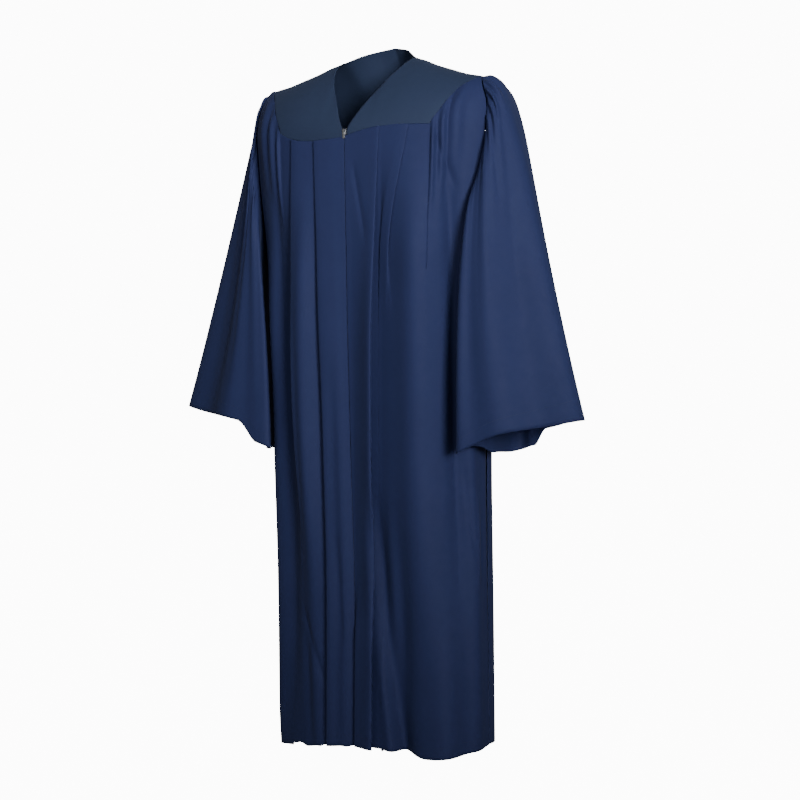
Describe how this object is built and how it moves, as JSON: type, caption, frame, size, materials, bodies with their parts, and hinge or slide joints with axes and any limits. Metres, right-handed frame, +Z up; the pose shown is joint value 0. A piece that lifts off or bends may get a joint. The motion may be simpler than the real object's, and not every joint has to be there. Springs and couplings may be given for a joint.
{
  "type": "graduation gown",
  "caption": "Long matte graduation gown with a shaped yoke, V neck, knife pleats, wide bell sleeves and a front zip, holding its worn form with no wearer.",
  "frame": {"origin": "midway between the shoulders at the height of the neck points, where the wearer's shoulders hold the gown", "axes": "+Z up; the front faces -Y; the wearer's left is +X"},
  "size_m": [0.9002, 0.2977, 1.4139],
  "materials": {
    "yoke_front_left": "matte woven polyester",
    "yoke_front_right": "matte woven polyester",
    "yoke_back": "matte woven polyester",
    "front_left": "matte woven polyester",
    "front_right": "matte woven polyester",
    "back": "matte woven polyester",
    "sleeve_left": "matte woven polyester",
    "sleeve_right": "matte woven polyester",
    "zip_tape": "matte woven polyester",
    "zip_slider": "polished nickel plate",
    "zip_pull_tab": "polished nickel plate"
  },
  "bodies": {
    "gown": {"yoke_front_left": "yoke_front_left", "yoke_front_right": "yoke_front_right", "yoke_back": "yoke_back", "front_left": "front_left", "front_right": "front_right", "back": "back", "sleeve_left": "sleeve_left", "sleeve_right": "sleeve_right", "zip_tape": "zip_tape", "zip_slider": "zip_slider"},
    "pull_tab": {"zip_pull_tab": "zip_pull_tab"}
  },
  "joints": [
    {"name": "pull_tab_hinge", "type": "hinge", "parent": "gown", "child": "pull_tab", "pos_m": [0, -0.14912, -0.1553], "axis": [-1, 0, 0], "range_deg": [0, 150]}
  ]
}
